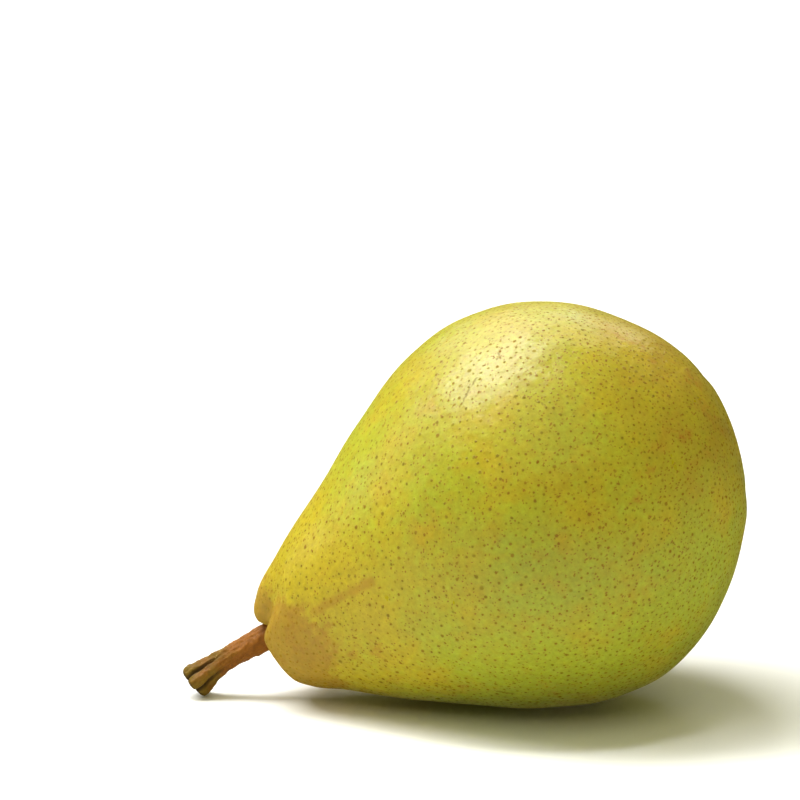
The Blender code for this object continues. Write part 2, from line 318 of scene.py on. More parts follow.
BELLY_HEIGHT = 0.381 * FRUIT_LENGTH
NECK_BEND = 6.1 * MM
NECK_SLANT = 0.17
NECK_SLANT_SPAN = (0.76, 1.0)
PIT_WALL = (0.06, 0.17)
PIT_SHIFT = (1.6 * MM, 0.6 * MM)
PIT_SHIFT_SPAN = (0.90, 0.95)
CREASE_ANGLES = (math.radians(-38), math.radians(135))
CREASE_WIDTH = math.radians(17)
CREASE_DROP = 1.9 * MM
CREASE_PINCH = 0.11
CREASE_SPAN = (0.89, 0.995)
RIB_COUNT = 5
RIB_SHARE = 0.004
RIB_TURN = 0.6
RIB_SPAN = (0.0, 0.36)
UNEVEN_SHARE = 0.009
UNEVEN_TWIST = 9.0
UNEVEN_TWIST_FROM = 0.33
UNEVEN_FADE = (0.86, 0.97)
BLOSSOM_SLANT = (-0.02, 0.08)
BLOSSOM_SLANT_SPAN = (0.0, 0.17)
RIM_SADDLE = 0.35 * MM
RIM_TURN = math.radians(20)
RIM_LEAN = 0.25 * MM
RIM_SPAN = (0.10, 0.22)
RIM_ROUNDING = 0.35 * MM
RIM_ROUNDING_SPAN = (0.20, 0.36)
WAVE_HEIGHT = 0.12 * MM
WAVE_LENGTH = 9.0 * MM


def blossom_slant(x, y, height):
    """How far the blossom end, which grew askew, is raised at each point."""
    tilt = BLOSSOM_SLANT[0] * x + BLOSSOM_SLANT[1] * y
    return tilt * (1.0 - ramp(*BLOSSOM_SLANT_SPAN, height / FRUIT_LENGTH))


def uneven_rim(angle, radius, height):
    """How far the basin's rim draws back: it is rounded, and stands out most at its sides."""
    near_rim = ramp(*RIM_SPAN, radius / BELLY_RADIUS)
    near_rim = near_rim * (1.0 - ramp(*BLOSSOM_SLANT_SPAN, height / FRUIT_LENGTH))
    rounding = RIM_ROUNDING * (1.0 - ramp(*RIM_ROUNDING_SPAN, radius / BELLY_RADIUS))
    saddle = RIM_SADDLE * np.cos(2.0 * (angle - RIM_TURN)) - RIM_LEAN * np.cos(angle)
    return near_rim * (saddle + rounding)


def grown_fruit(turned):
    """The turned fruit's points, moved to their places on the grown, uneven one."""
    height = turned[:, 2]
    radius = np.hypot(turned[:, 0], turned[:, 1])
    angle = np.arctan2(turned[:, 1], turned[:, 0])
    share = height / FRUIT_LENGTH

    outside_pit = ramp(*PIT_WALL, radius / BELLY_RADIUS)
    crease = np.maximum(*[nearness(angle, centre, CREASE_WIDTH) for centre in CREASE_ANGLES])
    crease = crease * outside_pit * ramp(*CREASE_SPAN, share)
    radius = radius * (1.0 - CREASE_PINCH * crease)
    height = height - CREASE_DROP * crease

    blossom_end = 1.0 - ramp(*RIB_SPAN, share)
    radius = radius * (1.0 + RIB_SHARE * blossom_end * np.cos(RIB_COUNT * angle + RIB_TURN))
    swell = np.sin(2.0 * angle) - np.cos(3.0 * angle + UNEVEN_TWIST * (share - UNEVEN_TWIST_FROM))
    radius = radius * (1.0 + UNEVEN_SHARE * swell * (1.0 - ramp(*UNEVEN_FADE, share)))

    x = radius * np.cos(angle)
    y = radius * np.sin(angle)
    height = height + NECK_SLANT * x * ramp(*NECK_SLANT_SPAN, share)
    height = height + blossom_slant(x, y, turned[:, 2]) + uneven_rim(angle, radius, turned[:, 2])
    in_pit = ramp(*PIT_SHIFT_SPAN, share) * (1.0 - outside_pit)
    rise = np.maximum(turned[:, 2] - BELLY_HEIGHT, 0.0) / (FRUIT_LENGTH - BELLY_HEIGHT)
    x = x - NECK_BEND * rise * rise + PIT_SHIFT[0] * in_pit
    y = y + PIT_SHIFT[1] * in_pit
    return np.column_stack((x, y, height))


def wavy(places, normals):
    """The points moved in and out by the slight waviness of ripe flesh."""
    waves = [noise.noise(Vector(place) / WAVE_LENGTH) for place in places]
    return places + normals * (WAVE_HEIGHT * np.array(waves))[:, None]


def normals_of(mesh):
    normals = np.empty(len(mesh.vertices) * 3)
    mesh.vertex_normals.foreach_get("vector", normals)
    return normals.reshape(-1, 3)


fruit_outline = [(height * FRUIT_LENGTH, radius * BELLY_RADIUS) for height, radius in FRUIT_OUTLINE]
fruit_shape = turn_outline(smooth_outline(fruit_outline, FRUIT_FACE_LENGTH), FRUIT_TURN_STEPS)
fruit_mesh = finished_mesh(fruit_shape, "fruit_skin")
fruit_turned = places_of(fruit_mesh)
move_to(fruit_mesh, grown_fruit(fruit_turned))
move_to(fruit_mesh, wavy(places_of(fruit_mesh), normals_of(fruit_mesh)))
print("fruit faces:", len(fruit_mesh.polygons))

# %% [markdown]
# ## Laying the pear down
#
# The form is made upright, stem up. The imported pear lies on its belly, tipped back by just
# over a right angle. A parent could carry the turn, but a pattern that reads Object coordinates
# needs the place in the mesh itself, so the points are turned and moved. The shift is found
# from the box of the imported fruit, and what then lies under the table is pressed flat, which
# is the small spot that the pear rests on.

# %% Laying the pear down
LAID_TILT = math.radians(22.3)
LAY_DOWN = Matrix.Rotation(-(math.pi / 2.0 + LAID_TILT), 3, "Y")


def laid_down(places, shift):
    return places @ np.array(LAY_DOWN).T + shift


def shift_to_packed_fruit(mesh):
    """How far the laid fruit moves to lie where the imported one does: its ends, sides and top."""
    places = laid_down(places_of(mesh), np.zeros(3))
    low, high = places.min(axis=0), places.max(axis=0)
    packed_low, packed_high = (np.array(corner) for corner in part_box("fruit"))
    shift = (packed_low + packed_high - low - high) / 2.0
    shift[2] = packed_high[2] - high[2]
    return shift


laid_shift = shift_to_packed_fruit(fruit_mesh)
fruit_places = laid_down(places_of(fruit_mesh), laid_shift)
on_flat_spot = fruit_places[:, 2] < 0.0
fruit_places[on_flat_spot, 2] = 0.0
move_to(fruit_mesh, fruit_places)
print("shift, mm:", np.round(laid_shift / MM, 3), "points on the flat spot:", int(on_flat_spot.sum()))

# %% [markdown]
# ## Pores
#
# A pear breathes through thousands of pores, which show as small brown dots with soft, uneven
# edges. They keep apart from each other, and they crowd together and get smaller towards the
# blossom end. A cell texture in the shader would give dots too, but of no set size, and cut
# off at random where the surface slices the cells. Here the pores are thrown at the surface
# one by one, and one that lands too near another is dropped. Each face then keeps the place,
# size and darkness of its nearest pore, which the material turns into a dot.

# %% Pores
PORE_THROWS = 60000
PORE_SPACING_NECK = 1.35 * MM
PORE_SPACING_BLOSSOM_END = 1.00 * MM
PORE_RADIUS_NECK = 0.24 * MM
PORE_RADIUS_BLOSSOM_END = 0.20 * MM
PORE_CROWDING_SPAN = (0.05, 0.60)
PORE_SIZE_SPREAD = 0.20


def thrown_points(mesh, throws, seed):
    """Points spread evenly and at random over the mesh's surface."""
    draw = np.random.default_rng(seed)
    mesh.calc_loop_triangles()
    triangles = np.array([triangle.vertices for triangle in mesh.loop_triangles])
    areas = np.array([triangle.area for triangle in mesh.loop_triangles])
    hit = triangles[draw.choice(len(areas), size=throws, p=areas / areas.sum())]
    weights = draw.dirichlet((1.0, 1.0, 1.0), throws)
    corners = places_of(mesh)[hit]
    return [Vector(point) for point in (corners * weights[:, :, None]).sum(axis=1)]


def keep_apart(points, spacings):
    """The numbers of the points that land no nearer to an earlier one than their spacing."""
    widest = max(spacings)
    cells = {}
    kept = []
    for number, (point, spacing) in enumerate(zip(points, spacings)):
        cell = tuple(int(value // widest) for value in point)
        around = [
            points[other]
            for x in (-1, 0, 1) for y in (-1, 0, 1) for z in (-1, 0, 1)
            for other in cells.get((cell[0] + x, cell[1] + y, cell[2] + z), ())
        ]
        if all((point - other).length >= spacing for other in around):
            cells.setdefault(cell, []).append(number)
            kept.append(number)
    return kept


def height_share(points):
    """How far along the pear each laid-down point is: 0 at the blossom end, 1 at the stem."""
    upright = (np.array(points) - laid_shift) @ np.array(LAY_DOWN)
    return upright[:, 2] / FRUIT_LENGTH


def write_attribute(mesh, name, kind, domain, values):
    attribute = mesh.attributes.new(name, kind, domain)
    field = "vector" if kind == "FLOAT_VECTOR" else "value"
    attribute.data.foreach_set(field, np.asarray(values, dtype=float).ravel())


def add_pores(mesh, seed):
    """Writes the place in mm, radius in mm and darkness of its nearest pore to each face."""
    points = thrown_points(mesh, PORE_THROWS, seed)
    away_from_end = ramp(*PORE_CROWDING_SPAN, height_share(points))
    widening = PORE_SPACING_NECK - PORE_SPACING_BLOSSOM_END
    kept = keep_apart(points, list(PORE_SPACING_BLOSSOM_END + away_from_end * widening))
    radii = PORE_RADIUS_BLOSSOM_END + away_from_end * (PORE_RADIUS_NECK - PORE_RADIUS_BLOSSOM_END)
    draw = np.random.default_rng(seed + 1)
    sizes = radii[kept] * draw.lognormal(0.0, PORE_SIZE_SPREAD, len(kept)) / MM
    darkness = draw.beta(1.5, 1.5, len(kept))
    places = np.array([points[number] for number in kept]) / MM
    tree = kdtree.KDTree(len(kept))
    for number, kept_number in enumerate(kept):
        tree.insert(points[kept_number], number)
    tree.balance()
    nearest = [tree.find(polygon.center)[1] for polygon in mesh.polygons]
    write_attribute(mesh, "pore_place", "FLOAT_VECTOR", "FACE", places[nearest])
    write_attribute(mesh, "pore_radius", "FLOAT", "FACE", sizes[nearest])
    write_attribute(mesh, "pore_darkness", "FLOAT", "FACE", darkness[nearest])
    return len(kept)


print("pores:", add_pores(fruit_mesh, 7))

# %% [markdown]
# The material also needs to know where a point is on the upright pear, because russet, colour
# and streaks follow the fruit's own axis and not the table. The turned form's points are kept
# as an attribute, in mm, for that.

# %% Where each point is on the upright pear
write_attribute(fruit_mesh, "upright", "FLOAT_VECTOR", "POINT", fruit_turned / MM)

# %% [markdown]
# ## Shader maths in plain Python
#
# A skin like this one needs a few hundred small sums. Wiring Math nodes by hand hides what
# they do, so a small class stands for a number in a material: adding or multiplying it adds
# the Math node. Everything else that a material needs comes from one method that makes a node
# of any type, sets it up, and links or fills its sockets.

# %% Numbers and finishes
class Number:
    """A number that is worked out at each point of a surface."""

    def __init__(self, finish, socket):
        self.finish = finish
        self.socket = socket

    def sum(self, operation, first, second):
        return self.finish.number("Math", {"operation": operation}, {0: first, 1: second})

    def __add__(self, other):
        return self.sum("ADD", self, other)

    def __radd__(self, other):
        return self.sum("ADD", other, self)

    def __sub__(self, other):
        return self.sum("SUBTRACT", self, other)

    def __rsub__(self, other):
        return self.sum("SUBTRACT", other, self)

    def __mul__(self, other):
        return self.sum("MULTIPLY", self, other)

    def __truediv__(self, other):
        return self.sum("DIVIDE", self, other)

    def __pow__(self, other):
        return self.sum("POWER", self, other)


class Finish:
    """A material with a Principled shader, and the nodes that feed it."""

    def __init__(self, name):
        self.material = bpy.data.materials.new(name)
        self.material.use_nodes = True
        self.tree = self.material.node_tree
        self.shader = self.tree.nodes["Principled BSDF"]

    def feed(self, socket, value):
        """Links a node's output or a Number to the socket, or sets the socket's own value."""
        if isinstance(value, Number):
            value = value.socket
        if isinstance(value, bpy.types.NodeSocket):
            self.tree.links.new(value, socket)
        elif isinstance(value, tuple) and socket.type == "RGBA":
            socket.default_value = (*value, 1.0)
        else:
            socket.default_value = value

    def node(self, kind, settings, inputs):
        """Any node: its settings first, then the values or links of its sockets."""
        made = self.tree.nodes.new("ShaderNode" + kind)
        for name, value in settings.items():
            setattr(made, name, value)
        for name, value in inputs.items():
            self.feed(made.inputs[name], value)
        return made

    def number(self, kind, settings, inputs, output=0):
        return Number(self, self.node(kind, settings, inputs).outputs[output])

    def place_mm(self):
        """The place on the object, in mm."""
        place = self.node("TexCoord", {}, {}).outputs["Object"]
        return self.node("VectorMath", {"operation": "SCALE"}, {0: place, "Scale": 1.0 / MM}).outputs[0]

    def attribute(self, name):
        return self.node("Attribute", {"attribute_name": name}, {})

    def parts(self, vector):
        """A vector's x, y and z as Numbers."""
        made = self.node("SeparateXYZ", {}, {0: vector})
        return [Number(self, output) for output in made.outputs]

    def rise(self, value, low, high):
        """0 at low, 1 at high, and smooth between. It falls where low is above high."""
        return self.number(
            "MapRange", {"interpolation_type": "SMOOTHSTEP"},
            {"Value": value, "From Min": low, "From Max": high},
        )

    def noise(self, place, size, detail=2.0, roughness=0.5, shift=0.0):
        """Soft noise from about 0.25 to 0.75 whose blobs are about size mm across."""
        moved = self.node("VectorMath", {"operation": "ADD"}, {0: place, 1: (shift, shift, -shift)})
        return self.number(
            "TexNoise", {},
            {"Vector": moved.outputs[0], "Scale": 0.5 / size, "Detail": detail, "Roughness": roughness},
        )

    def distance(self, place, centre):
        return self.number("VectorMath", {"operation": "DISTANCE"}, {0: place, 1: centre}, "Value")

    def greatest(self, first, second):
        return self.number("Math", {"operation": "MAXIMUM"}, {0: first, 1: second})

    def mix(self, amount, under, over):
        """One colour over another. A Mix node's colour sockets come after its other kinds."""
        made = self.node(
            "Mix", {"data_type": "RGBA", "clamp_factor": True}, {0: amount, 6: under, 7: over}
        )
        return made.outputs[2]

    def brighten(self, colour, amount):
        """The colour times a number."""
        return self.node("VectorMath", {"operation": "SCALE"}, {0: colour, "Scale": amount}).outputs[0]

    def bump(self, height, depth, below=None):
        """A bump from a height of 0 to 1 that stands for a depth in metres."""
        inputs = {"Height": height, "Strength": 1.0, "Distance": depth}
        if below is not None:
            inputs["Normal"] = below
        return self.node("Bump", {}, inputs).outputs[0]

    def set_shader(self, **values):
        for name, value in values.items():
            self.feed(self.shader.inputs[name.replace("_", " ")], value)


# %% [markdown]
# ## The skin's ground colour
#
# A ripening pear turns from green to yellow unevenly. The side that the sun reached is yellow
# first, and the shaded side and the blossom end stay green longest. One gradient would look
# like paint, so slow gradients are mixed with noise at many sizes: broad clouds, patches as
# big as a fingertip, blotches, a fine mottle and a grain. Towards the blossom end the upper
# side has turned to ochre, and the neck is a little lighter. The top is mixed a little towards
# a whitish pale yellow, which is a painted sheen, and the underside is made lighter, which is
# painted light thrown back from the white table.

# %% Ground colour
YELLOW = (0.380, 0.293, 0.0120)
ORANGE = (0.385, 0.232, 0.0095)
GREEN = (0.288, 0.312, 0.0170)
# The pale yellow is a painted sheen on the top of the pear.
SHEEN_PALE_YELLOW = (0.430, 0.390, 0.045)
OCHRE = (0.270, 0.160, 0.014)


def ground_colour(skin, place, along, upper):
    clouds = skin.noise(place, 22.0, 2.0) - 0.5
    patches = skin.noise(place, 7.0, 2.0, shift=31.0) - 0.5
    blotches = skin.noise(place, 2.6, 3.0, 0.6, shift=63.0) - 0.5
    mottle = skin.noise(place, 0.9, 3.0, 0.6, shift=57.0) - 0.5
    greener = skin.rise(along, 0.86, 0.62) * 0.50 + skin.rise(upper, 10.0, -24.0) * 0.15
    greener = greener + skin.rise(upper, 4.0, 22.0) * skin.rise(along, 0.25, 0.50) * 0.25
    greener = greener + clouds * 1.1 + patches * 1.6 + blotches * 1.5 + mottle * 1.0
    colour = skin.mix(skin.rise(greener, 0.0, 1.0), YELLOW, GREEN)
    riper = skin.rise(patches * 1.5 - clouds + blotches * 1.6, 0.10, 0.75)
    colour = skin.mix(riper * 0.75, colour, ORANGE)
    # Painted sheen: the top of the pear is mixed towards a whitish pale yellow.
    painted_top_sheen = skin.rise(upper, 14.0, 34.0) * 0.12
    colour = skin.mix(painted_top_sheen, colour, SHEEN_PALE_YELLOW)
    ochre = skin.rise(along, 0.23, 0.08) * skin.rise(upper, -14.0, 6.0)
    colour = skin.mix(ochre * (0.55 + blotches * 1.6 + mottle * 1.0), colour, OCHRE)
    grain = skin.noise(place, 0.32, 2.0, 0.6, shift=77.0) - 0.5
    light = 0.935 + mottle * 0.50 + blotches * 0.15 + grain * 0.50
    light = light + skin.rise(along, 0.30, 0.06) * 0.16 + skin.rise(along, 0.50, 0.72) * 0.10
    # Painted light: the underside is made lighter, as if lit by light thrown back from the table.
    return skin.brighten(colour, light + skin.rise(upper, -6.0, -24.0) * 0.10)


# %% [markdown]
# ## Russet
#
# Round the stem the skin turned to a thin, smooth cork, tan and matt. Its edge is a ragged
# front that breaks up into islands, with one long tongue up the neck. Noise added to the
# distance along the neck moves the front in and out, and finer noise breaks it up. The tongue
# is a capsule: everything within about a millimetre of a line between two points.

# %% Russet
RUSSET = (0.375, 0.215, 0.0120)
RUSSET_DARK = (0.270, 0.138, 0.0090)
TONGUE_START = (-25.5, -15.2, 19.5)
TONGUE_END = (-15.4, -22.3, 26.6)


def capsule(finish, place, start, end):
    """How far a point is from the line between two points, in mm."""
    line = Vector(end) - Vector(start)
    from_start = finish.node("VectorMath", {"operation": "SUBTRACT"}, {0: place, 1: start}).outputs[0]
    per_length = tuple(line / line.length_squared)
    travelled = finish.number(
        "VectorMath", {"operation": "DOT_PRODUCT"}, {0: from_start, 1: per_length}, "Value"
    )
    held = {0: tuple(line), "Scale": finish.number("Clamp", {}, {"Value": travelled})}
    on_line = finish.node("VectorMath", {"operation": "SCALE"}, held).outputs[0]
    return finish.distance(from_start, on_line)


def russet_cover(skin, place, along, upper):
    """How much of the skin is russet: 1 round the stem, islands further out, 0 elsewhere."""
    front = skin.noise(place, 5.0, 3.0, 0.6, shift=12.0) - 0.5
    islands = skin.noise(place, 2.4, 3.0, 0.6, shift=210.0) - 0.5
    crumbs = skin.noise(place, 0.9, 4.0, 0.7, shift=90.0) - 0.5
    reach = along + front * 0.12 + islands * 0.16 + crumbs * 0.14
    reach = reach - skin.rise(upper, 3.0, 12.0) * 0.085 - skin.rise(upper, -3.0, -9.0) * 0.040
    cover = skin.rise(reach, 0.848, 0.895) * (0.90 + crumbs * 1.2)
    tongue = capsule(skin, place, TONGUE_START, TONGUE_END) + crumbs * 1.8 + islands * 1.0
    return skin.greatest(cover, skin.rise(tongue, 1.3, 0.3) * 0.75)


# %% [markdown]
# ## Blush, scuffs and flecks
#
# The skin carries small stains: a rusty blush round the upper shoulder of the blossom end,
# brown scuffs on its side, and rusty flecks along the underside, where the pear was handled.
# Each stain is a soft ball of a given radius round a point on the skin, broken up by noise,
# so it ends in crumbs and not in a rim.

# %% Blush, scuffs and flecks
BLUSH = (0.315, 0.122, 0.012)
STAINS = (
    ((23.8, -7.9, 68.7), 5.0, 0.60),
    ((26.9, -8.7, 67.4), 5.0, 0.75),
    ((29.6, -9.6, 66.0), 4.0, 0.70),
    ((35.5, -6.7, 63.7), 5.0, 0.70),
    ((39.2, -10.2, 59.5), 5.5, 0.75),
    ((42.0, -12.6, 55.5), 5.0, 0.70),
    ((37.9, -21.0, 52.2), 3.2, 1.00),
    ((32.0, -27.7, 47.8), 2.2, 0.85),
    ((30.0, -30.5, 43.7), 2.0, 0.80),
    ((32.5, -12.7, 63.3), 1.8, 1.00),
    ((35.5, -27.9, 31.9), 6.0, 0.40),
    ((23.0, -34.5, 37.4), 5.0, 0.35),
    ((32.1, -29.6, 27.4), 4.5, 0.45),
    ((1.3, -19.9, 7.2), 4.0, 0.80),
    ((16.9, -22.2, 7.8), 5.0, 0.70),
    ((-10.8, -16.8, 7.8), 4.0, 0.60),
    ((-24.3, -15.6, 17.9), 2.0, 0.40),
    ((-29.8, -11.5, 13.6), 2.5, 0.60),
    ((-14.8, -20.0, 14.0), 4.0, 0.70),
    ((-18.6, -16.8, 12.3), 3.0, 0.80),
    ((-6.0, -28.9, 33.0), 7.0, 0.30),
    ((6.0, 30.0, 30.0), 12.0, 0.50),
    ((34.0, 22.0, 40.0), 9.0, 0.60),
    ((-12.0, 22.0, 24.0), 8.0, 0.55),
)


def stain_cover(skin, place):
    """How rusty the skin is here, from 0 to 1, and how strongly the stain shows, in crumbs."""
    crumbs = skin.noise(place, 0.8, 5.0, 0.75, shift=140.0) - 0.5
    cover = skin.rise(skin.noise(place, 11.0, 2.0, shift=160.0), 0.50, 0.72) * 0.35
    for centre, radius, strength in STAINS:
        nearby = skin.rise(skin.distance(place, centre), radius * 1.15, radius * 0.1) * strength
        cover = skin.greatest(cover, nearby)
    return cover, skin.rise(cover + crumbs * 3.0, 0.45, 1.30) * 0.85


# %% [markdown]
# ## Dots
#
# Each face knows its nearest pore, so the distance to it, with a little noise for a ragged
# edge, gives a soft round dot. The dots are olive in some places and brown in others, and a
# wider ring of slightly greener skin surrounds each one. Between them a cell texture scatters
# tiny ragged freckles, whose exact size doesn't matter, and most of them where the skin is
# rusty. A few fine scratches are capsules again.

# %% Dots
PORE_BROWN = (0.190, 0.083, 0.0005)
PORE_OLIVE = (0.150, 0.096, 0.0005)
RING_GREEN = (0.25, 0.245, 0.008)
FRECKLE = (0.205, 0.080, 0.002)
SCRATCHES = (
    ((2.6, -20.2, 61.8), (0.2, -22.8, 58.1), 0.18),
    ((9.8, -25.6, 59.9), (14.3, -27.2, 58.7), 0.15),
    ((6.8, -15.9, 66.3), (6.1, -18.1, 64.8), 0.20),
    ((-4.2, -19.2, 7.9), (-1.8, -19.0, 7.1), 0.25),
    ((6.5, -21.2, 7.2), (8.9, -21.1, 6.8), 0.30),
)


def pore_masks(skin, place):
    """How strongly the dot of a pore, and the ring of skin round it, show here."""
    centre = skin.attribute("pore_place").outputs["Vector"]
    radius = skin.number("Attribute", {"attribute_name": "pore_radius"}, {}, "Fac")
    ragged = skin.noise(place, 0.25, 3.0, 0.7, shift=5.0) - 0.5
    away = skin.distance(place, centre) + ragged * 0.42
    dot = skin.rise(away / radius, 1.30, 0.45)
    ring = skin.rise(away, 0.8, 0.25)
    return dot, ring


def freckle_mask(skin, place, rusty):
    """Tiny ragged freckles between the pores, crowded where the skin is rusty."""
    bent = skin.noise(place, 0.45, 2.0, 0.6, shift=310.0)
    moved = skin.node("VectorMath", {"operation": "ADD"}, {0: place, 1: bent.socket})
    cells = skin.node("TexVoronoi", {}, {"Vector": moved.outputs[0], "Scale": 1.5})
    away = Number(skin, cells.outputs["Distance"])
    draw = skin.parts(cells.outputs["Color"])[0]
    crowd = skin.noise(place, 5.0, 2.0, shift=330.0) - 0.5
    chosen = skin.rise(draw + crowd * 1.4 + rusty * 0.6, 0.32, 0.64)
    return skin.rise(away + (bent - 0.5) * 0.5, 0.34, 0.12) * chosen


def scratch_mask(skin, place):
    """Fine dark lines of dots, where the skin was scratched as it grew."""
    gaps = skin.noise(place, 0.30, 2.0, 0.6, shift=350.0) - 0.5
    mask = 0.0
    for start, end, half_width in SCRATCHES:
        away = capsule(skin, place, start, end) + gaps * 1.2
        mask = skin.greatest(mask, skin.rise(away, half_width * 1.6, half_width * 0.4))
    return mask


# %% [markdown]
# ## The whole skin
#
# The layers go on in order: ground colour, blush, russet, freckles, scratches and dots. The
# skin is waxy and satin, and rougher where it is russet or dotted. A real highlight on a pear
# has a ragged edge, because the skin is dimpled like fine leather, so two sizes of bump go under
# the gloss. A little light enters the flesh and comes out again, which subsurface scattering
# gives.

# %% The whole skin
def make_skin():
    skin = Finish("pear_skin")
    place = skin.place_mm()
    upright = skin.parts(skin.attribute("upright").outputs["Vector"])
    along = upright[2] / (FRUIT_LENGTH / MM)
    upper = upright[0]

    colour = ground_colour(skin, place, along, upper)
    rusty, stains = stain_cover(skin, place)
    rusty = skin.greatest(rusty, skin.rise(along, 0.42, 0.12) * 0.7)
    rusty = skin.greatest(rusty, skin.rise(upper, -18.0, -30.0) * 0.7)
    colour = skin.mix(stains, colour, BLUSH)
    russet = russet_cover(skin, place, along, upper)
    tan = skin.mix(skin.noise(place, 1.8, 3.0, 0.6, shift=70.0), RUSSET, RUSSET_DARK)
    cork_grain = skin.noise(place, 0.45, 3.0, 0.65, shift=95.0)
    colour = skin.mix(russet * 0.90, colour, skin.brighten(tan, 0.65 + cork_grain * 0.70))

    dot, ring = pore_masks(skin, place)
    darkness = skin.number("Attribute", {"attribute_name": "pore_darkness"}, {}, "Fac")
    bare = 1.0 - russet * 0.45
    colour = skin.mix(ring * bare * darkness * 0.30, colour, RING_GREEN)
    freckles = freckle_mask(skin, place, rusty) * 0.85
    colour = skin.mix(freckles * bare, colour, FRECKLE)
    scratches = scratch_mask(skin, place) * 0.60
    colour = skin.mix(scratches, colour, PORE_OLIVE)
    hue = skin.noise(place, 3.0, 1.0, shift=260.0)
    brown = skin.mix(skin.rise(hue, 0.38, 0.56), PORE_OLIVE, PORE_BROWN)
    colour = skin.mix(dot * bare * (0.48 + darkness * 0.52), colour, brown)

    grain = skin.noise(place, 0.55, 2.0, 0.5, shift=200.0)
    dimples = skin.noise(place, 2.2, 2.0, 0.5, shift=230.0)
    normal = skin.bump(dimples, 0.28 * MM)
    normal = skin.bump(grain + dot * 0.5, 0.060 * MM, normal)
    rough = 0.35 + russet * 0.20 + dot * 0.40 + freckles * 0.25 + scratches * 0.30
    skin.set_shader(
        Base_Color=colour,
        Roughness=rough + (dimples - 0.5) * 0.30,
        Normal=normal,
        Subsurface_Weight=0.12,
        Subsurface_Radius=(1.0, 0.75, 0.15),
        Subsurface_Scale=1.5 * MM,
        IOR=1.35,
    )
    return skin.material


def new_piece(name, mesh, material):
    mesh.materials.append(material)
    piece = bpy.data.objects.new(name, mesh)
    bpy.context.scene.collection.objects.link(piece)
    return piece


fruit_skin = new_piece("fruit_skin", fruit_mesh, make_skin())
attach(fruit_skin, "root")
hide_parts("fruit")
print("skin nodes:", len(fruit_skin.data.materials[0].node_tree.nodes))

# %% [markdown]
# ## The stem's form
#
# The stem is a woody stalk a little over 4 mm thick. It stands upright in its pit, bends
# towards the table, and ends where it broke off the spur, in a flared knob with deep folds.
# It is turned from its outline like the fruit, with more than enough points to carry the
# folds, the fibres along it and the warts on its bark.

# %% The stem's form
STEM_OUTLINE = (
    (105.1 * MM, 0.00 * MM),
    (105.3 * MM, 1.40 * MM),
    (105.1 * MM, 2.40 * MM),
    (104.2 * MM, 2.80 * MM),
    (102.3 * MM, 2.40 * MM),
    (99.2 * MM, 2.05 * MM),
    (94.5 * MM, 2.10 * MM),
    (90.5 * MM, 2.35 * MM),
    (86.0 * MM, 2.50 * MM),
    (80.6 * MM, 2.00 * MM),
    (80.2 * MM, 0.00 * MM),
)
STEM_FACE_LENGTH = 0.17 * MM
STEM_TURN_STEPS = 120
STEM_FOOT = (-4.0 * MM, 0.8 * MM)
STEM_FOOT_HEIGHT = 85.0 * MM
STEM_TIP_HEIGHT = 104.0 * MM
STEM_BEND = (-2.6 * MM, -0.8 * MM)
STEM_RIDGES = 5
STEM_SHAFT_RIDGE_SHARE = 0.035
STEM_TIP_RIDGE_SHARE = 0.10
STEM_WART_SHARE = 0.05
STEM_TIP_SLANT = 0.34
STEM_TIP_FLATTEN = 0.12
STEM_FOLD_DEPTH = 0.45 * MM
STEM_PIT_SPAN = (0.10, 0.35)
STEM_TORN_SPAN = (0.60, 1.0)
STEM_FIBRE_HEIGHT = 0.10 * MM
STEM_BARK_HEIGHT = 0.20 * MM
STEM_CRUMB_HEIGHT = 0.07 * MM


def grown_stem(turned):
    """The turned stem's points, moved to their places on the ridged, folded, bent one."""
    height = turned[:, 2]
    angle = np.arctan2(turned[:, 1], turned[:, 0])
    along = (height - STEM_FOOT_HEIGHT) / (STEM_TIP_HEIGHT - STEM_FOOT_HEIGHT)
    above_pit = ramp(*STEM_PIT_SPAN, along)
    torn_end = ramp(*STEM_TORN_SPAN, along)
    ridge = np.cos(STEM_RIDGES * angle + along)
    fold = ramp(-0.62, -1.0, ridge) * torn_end * STEM_FOLD_DEPTH
    ridge = ridge * (STEM_SHAFT_RIDGE_SHARE + (STEM_TIP_RIDGE_SHARE - STEM_SHAFT_RIDGE_SHARE) * torn_end)
    wart = np.sin(3.0 * angle + 19.0 * along) * np.sin(27.0 * along + 2.0 * angle)
    grow = 1.0 + (ridge + STEM_WART_SHARE * wart) * above_pit
    radius = np.hypot(turned[:, 0], turned[:, 1])
    rough = np.array([stem_roughness(*point) for point in zip(angle, along)])
    grow = grow + (rough - fold) * above_pit / np.maximum(radius, 1.0 * MM)
    x = turned[:, 0] * grow
    y = turned[:, 1] * grow * (1.0 + STEM_TIP_FLATTEN * torn_end)
    height = height + STEM_TIP_SLANT * x * torn_end
    rise = np.maximum(turned[:, 2] - STEM_FOOT_HEIGHT, 0.0) / (STEM_TIP_HEIGHT - STEM_FOOT_HEIGHT)
    x = x + STEM_FOOT[0] + STEM_BEND[0] * rise * rise
    y = y + STEM_FOOT[1] + STEM_BEND[1] * rise * rise
    return np.column_stack((x, y, height))


def stem_roughness(angle, along):
    """Fibres drawn out along the stem and small warts of bark, in metres."""
    round_axis = Vector((math.cos(angle), math.sin(angle), 0.0))
    fibre = noise.noise(round_axis * 5.0 + Vector((0.0, 0.0, along * 3.0)))
    bark = noise.noise(round_axis * 3.0 + Vector((7.0, 0.0, along * 22.0)))
    crumb = noise.noise(round_axis * 6.0 + Vector((0.0, 9.0, along * 55.0)))
    warts = max(bark - 0.15, 0.0) * STEM_BARK_HEIGHT
    return fibre * STEM_FIBRE_HEIGHT + warts + crumb * STEM_CRUMB_HEIGHT


